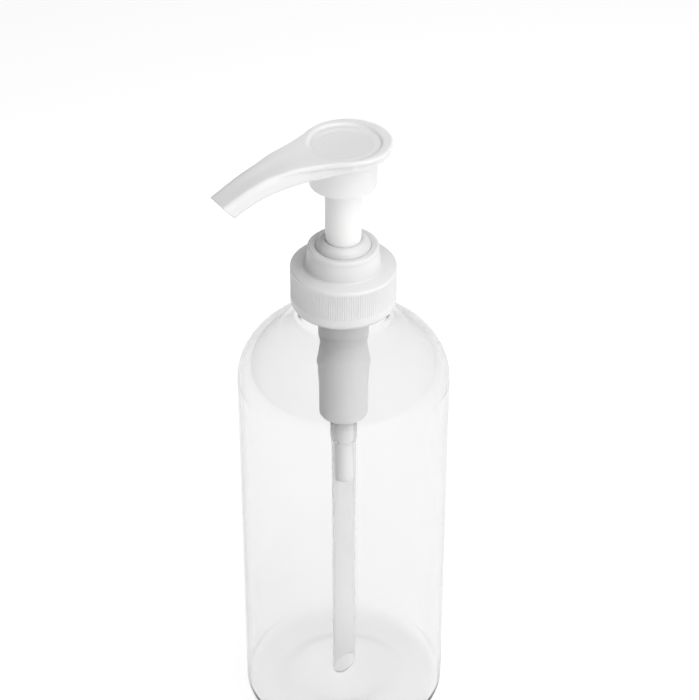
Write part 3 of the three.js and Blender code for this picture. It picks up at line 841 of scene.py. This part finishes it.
class Nodes:
    """A material's node tree with a Principled shader, in object coordinates (metres)."""

    def __init__(self, name):
        self.material = bpy.data.materials.new(name)
        self.material.use_nodes = True
        self.tree = self.material.node_tree
        self.tree.nodes.clear()
        self.shader = self.tree.nodes.new("ShaderNodeBsdfPrincipled")
        self.output = self.tree.nodes.new("ShaderNodeOutputMaterial")
        self.tree.links.new(self.shader.outputs[0], self.output.inputs["Surface"])
        self.where = self.tree.nodes.new("ShaderNodeTexCoord").outputs["Object"]

    def add(self, kind, **values):
        node = self.tree.nodes.new(kind)
        for key, value in values.items():
            setattr(node, key, value)
        return node

    def link(self, source, target):
        self.tree.links.new(source, target)

    def set(self, **values):
        for key, value in values.items():
            self.shader.inputs[key.replace("_", " ")].default_value = value

    def noise(self, scale, detail=2.0, stretch=(1, 1, 1)):
        """Noise of that many cells per metre, drawn out along an axis whose stretch is below 1."""
        mapping = self.add("ShaderNodeMapping")
        mapping.inputs["Scale"].default_value = stretch
        self.link(self.where, mapping.inputs["Vector"])
        node = self.add("ShaderNodeTexNoise")
        node.inputs["Scale"].default_value = scale
        node.inputs["Detail"].default_value = detail
        self.link(mapping.outputs["Vector"], node.inputs["Vector"])
        return node.outputs["Fac"]

    def spread(self, source, low, high):
        """Noise, most of which lies from 0.3 to 0.7, as a value from low to high."""
        node = self.add("ShaderNodeMapRange")
        for key, value in (("From Min", 0.3), ("From Max", 0.7), ("To Min", low), ("To Max", high)):
            node.inputs[key].default_value = value
        self.link(source, node.inputs["Value"])
        return node.outputs["Result"]

    def colour_between(self, source, first, second):
        node = self.add("ShaderNodeMix", data_type="RGBA")
        self.link(source, node.inputs["Factor"])
        node.inputs["A"].default_value = (*first, 1)
        node.inputs["B"].default_value = (*second, 1)
        self.link(node.outputs["Result"], self.shader.inputs["Base Color"])

    def bump(self, height, distance, strength=1.0, after=None):
        node = self.add("ShaderNodeBump")
        node.inputs["Strength"].default_value = strength
        node.inputs["Distance"].default_value = distance
        self.link(height, node.inputs["Height"])
        if after:
            self.link(after, node.inputs["Normal"])
        self.link(node.outputs["Normal"], self.shader.inputs["Normal"])
        return node.outputs["Normal"]


def clear_pet():
    """Blown PET: clear, with a grey tint that shows where the wall is seen edge on, and slightly wavy."""
    n = Nodes("clear_pet")
    n.set(Base_Color=(1, 1, 1, 1), Transmission_Weight=1.0, IOR=1.5)
    tint = n.add("ShaderNodeVolumeAbsorption")
    tint.inputs["Color"].default_value = (0.5, 0.5, 0.5, 1)
    tint.inputs["Density"].default_value = 180.0
    n.link(tint.outputs["Volume"], n.output.inputs["Volume"])
    n.bump(n.noise(38, stretch=(1, 1, 0.25)), 0.0003, 0.1)
    n.link(n.spread(n.noise(160, detail=3.0), 0.015, 0.05), n.shader.inputs["Roughness"])
    return n.material


def natural_pp():
    """Unpigmented polypropylene: milky and translucent with a satin mould finish."""
    n = Nodes("natural_pp")
    n.set(
        Subsurface_Weight=0.5, Subsurface_Radius=(0.0015, 0.0015, 0.0015), Subsurface_Scale=1.0,
        Transmission_Weight=0.24, IOR=1.49, Coat_Weight=0.35, Coat_Roughness=0.22,
    )
    n.colour_between(n.noise(55), (0.94, 0.94, 0.94), (0.97, 0.97, 0.967))
    n.link(n.spread(n.noise(240, detail=3.0), 0.31, 0.38), n.shader.inputs["Roughness"])
    fine = n.bump(n.noise(2600), 0.00001, 0.2)
    n.bump(n.noise(70), 0.0003, 0.15, after=fine)
    return n.material


def solid_pp(name, first, second):
    """Nearly opaque polypropylene with a satin finish, its colour drifting between two tones."""
    n = Nodes(name)
    n.set(
        Subsurface_Weight=0.25, Subsurface_Radius=(0.0012, 0.0012, 0.0011), Subsurface_Scale=1.0,
        IOR=1.49,
    )
    n.colour_between(n.noise(60), first, second)
    n.link(n.spread(n.noise(300, detail=3.0), 0.36, 0.44), n.shader.inputs["Roughness"])
    n.bump(n.noise(2200), 0.00001, 0.25)
    return n.material


def tube_pe():
    """Extruded polyethylene tube: translucent, with faint draw lines along it."""
    n = Nodes("tube_pe")
    n.set(
        Subsurface_Weight=0.3, Subsurface_Radius=(0.003, 0.003, 0.003), Subsurface_Scale=1.0,
        Transmission_Weight=0.85, IOR=1.5,
    )
    n.colour_between(n.noise(900, stretch=(1, 1, 0.02)), (0.96, 0.96, 0.96), (1.0, 1.0, 1.0))
    n.link(n.spread(n.noise(500), 0.12, 0.18), n.shader.inputs["Roughness"])
    n.bump(n.noise(1500, stretch=(1, 1, 0.02)), 0.00001, 0.3)
    return n.material


def seal_foam():
    """Closed-cell foam washer."""
    n = Nodes("seal_foam")
    n.set(IOR=1.45)
    cells = n.add("ShaderNodeTexVoronoi")
    cells.inputs["Scale"].default_value = 2200
    n.link(n.where, cells.inputs["Vector"])
    n.colour_between(cells.outputs["Distance"], (0.8, 0.81, 0.79), (0.9, 0.9, 0.88))
    n.link(n.spread(n.noise(800), 0.8, 0.95), n.shader.inputs["Roughness"])
    n.bump(cells.outputs["Distance"], 0.0001, 0.5)
    return n.material


def piston_pe():
    """Waxy polyethylene seal."""
    n = Nodes("piston_pe")
    n.set(Subsurface_Weight=0.3, Subsurface_Radius=(0.002, 0.002, 0.0018), Subsurface_Scale=1.0, IOR=1.5)
    n.colour_between(n.noise(90), (0.86, 0.86, 0.83), (0.92, 0.92, 0.89))
    n.link(n.spread(n.noise(400), 0.45, 0.55), n.shader.inputs["Roughness"])
    n.bump(n.noise(1800), 0.00003, 0.3)
    return n.material


def steel(name, roughness, lines):
    """Stainless steel, its tone drifting, with fine marks of the given number per metre."""
    n = Nodes(name)
    n.set(Metallic=1.0)
    n.colour_between(n.noise(400), (0.66, 0.67, 0.68), (0.78, 0.785, 0.79))
    n.link(n.spread(n.noise(lines), *roughness), n.shader.inputs["Roughness"])
    n.bump(n.noise(lines), 0.00001, 0.3)
    return n.material


# ------------------------------------------------------------------ studio


def add_camera():
    across = Vector((math.cos(VIEW_TURN), math.sin(VIEW_TURN), 0))
    back = Vector((math.sin(VIEW_TURN), -math.cos(VIEW_TURN), 0))
    data = bpy.data.cameras.new("camera")
    data.lens = CAMERA_LENS
    data.clip_start, data.clip_end = 0.01, 20
    camera = bpy.data.objects.new("camera", data)
    camera.location = (
        Vector((0, 0, CLOSURE_Z * MM + CAMERA_UP)) + CAMERA_BACK * back + CAMERA_ASIDE * across
    )
    camera.rotation_euler = (math.pi / 2 - VIEW_PITCH, 0, VIEW_TURN)
    bpy.context.scene.collection.objects.link(camera)
    bpy.context.scene.camera = camera


def add_area_light(name, turn, elevation, distance, size, power):
    """A square soft box. turn is in degrees round the object from the camera's side, to its right."""
    data = bpy.data.lights.new(name, "AREA")
    data.shape = "SQUARE"
    data.size = size
    data.energy = power
    light = bpy.data.objects.new(name, data)
    a, e = VIEW_TURN + math.radians(turn), math.radians(elevation)
    way = Vector((math.sin(a) * math.cos(e), -math.cos(a) * math.cos(e), math.sin(e)))
    light.location = Vector(LAMP_AIM) + distance * way
    light.rotation_mode = "QUATERNION"
    light.rotation_quaternion = (-way).to_track_quat("-Z", "Y")
    bpy.context.scene.collection.objects.link(light)
    return light


def keep_out_of_bottle(lights):
    """The lamps light everything but the clear bottle, which would mirror their outlines."""
    lit = bpy.data.collections.new("lit")
    for thing in bpy.context.scene.objects:
        if thing.type == "MESH" and thing.name != "bottle_shell":
            lit.objects.link(thing)
    for light in lights:
        light.light_linking.receiver_collection = lit


def add_world():
    """Studio light from all round, which fades towards the camera's left."""
    world = bpy.data.worlds.new("studio")
    world.use_nodes = True
    nodes, links = world.node_tree.nodes, world.node_tree.links
    background = nodes["Background"]
    direction = nodes.new("ShaderNodeTexCoord").outputs["Generated"]
    dot = nodes.new("ShaderNodeVectorMath")
    dot.operation = "DOT_PRODUCT"
    dot.inputs[1].default_value = (math.cos(VIEW_TURN), math.sin(VIEW_TURN), 0)
    links.new(direction, dot.inputs[0])
    fade = nodes.new("ShaderNodeMapRange")
    for key, value in (("From Min", -1), ("From Max", 1), ("To Min", WORLD_LEFT), ("To Max", WORLD_RIGHT)):
        fade.inputs[key].default_value = value
    links.new(dot.outputs["Value"], fade.inputs["Value"])
    links.new(fade.outputs["Result"], background.inputs["Strength"])
    background.inputs["Color"].default_value = (1, 1, 1, 1)
    bpy.context.scene.world = world


def add_floor():
    mesh = bpy.data.meshes.new("floor")
    corners = [(FLOOR_HALF * x, FLOOR_HALF * y, 0) for x, y in ((-1, -1), (1, -1), (1, 1), (-1, 1))]
    mesh.from_pydata(corners, [], [(0, 1, 2, 3)])
    floor = bpy.data.objects.new("floor", mesh)
    floor.location.z = -FLOOR_DROP
    n = Nodes("floor_white")
    n.colour_between(n.noise(3), (0.93, 0.93, 0.93), (0.95, 0.95, 0.95))
    n.set(Roughness=0.8, Emission_Color=(1, 1, 1, 1), Emission_Strength=FLOOR_GLOW)
    mesh.materials.append(n.material)
    bpy.context.scene.collection.objects.link(floor)


# ------------------------------------------------------------------ the scene


def build():
    natural = natural_pp()
    white = solid_pp("white_pp", (0.86, 0.86, 0.855), (0.9, 0.9, 0.895))
    milky = solid_pp("housing_pp", (0.94, 0.94, 0.937), (0.96, 0.96, 0.957))
    make_bottle(clear_pet())
    make_closure(natural)
    make_gasket(seal_foam())
    make_housing(milky)
    make_chaplet(natural)
    make_dip_tube(tube_pe())
    make_cage(white)
    make_spring(steel("spring_steel", (0.25, 0.35), 900))
    make_piston(piston_pe())
    make_rod(white)
    make_stem(white)
    balls = steel("ball_steel", (0.06, 0.12), 1500)
    make_ball("inlet_check_ball", "inlet_ball_body", "inlet_ball", balls)
    make_ball("outlet_check_ball", "outlet_ball_body", "outlet_ball", balls)
    make_head(natural)


add_camera()
build()
add_floor()
add_world()
key = add_area_light("key", **KEY_LAMP)
top = add_area_light("top", **TOP_LAMP)
keep_out_of_bottle([key, top])
bpy.context.scene.view_settings.view_transform = "Standard"
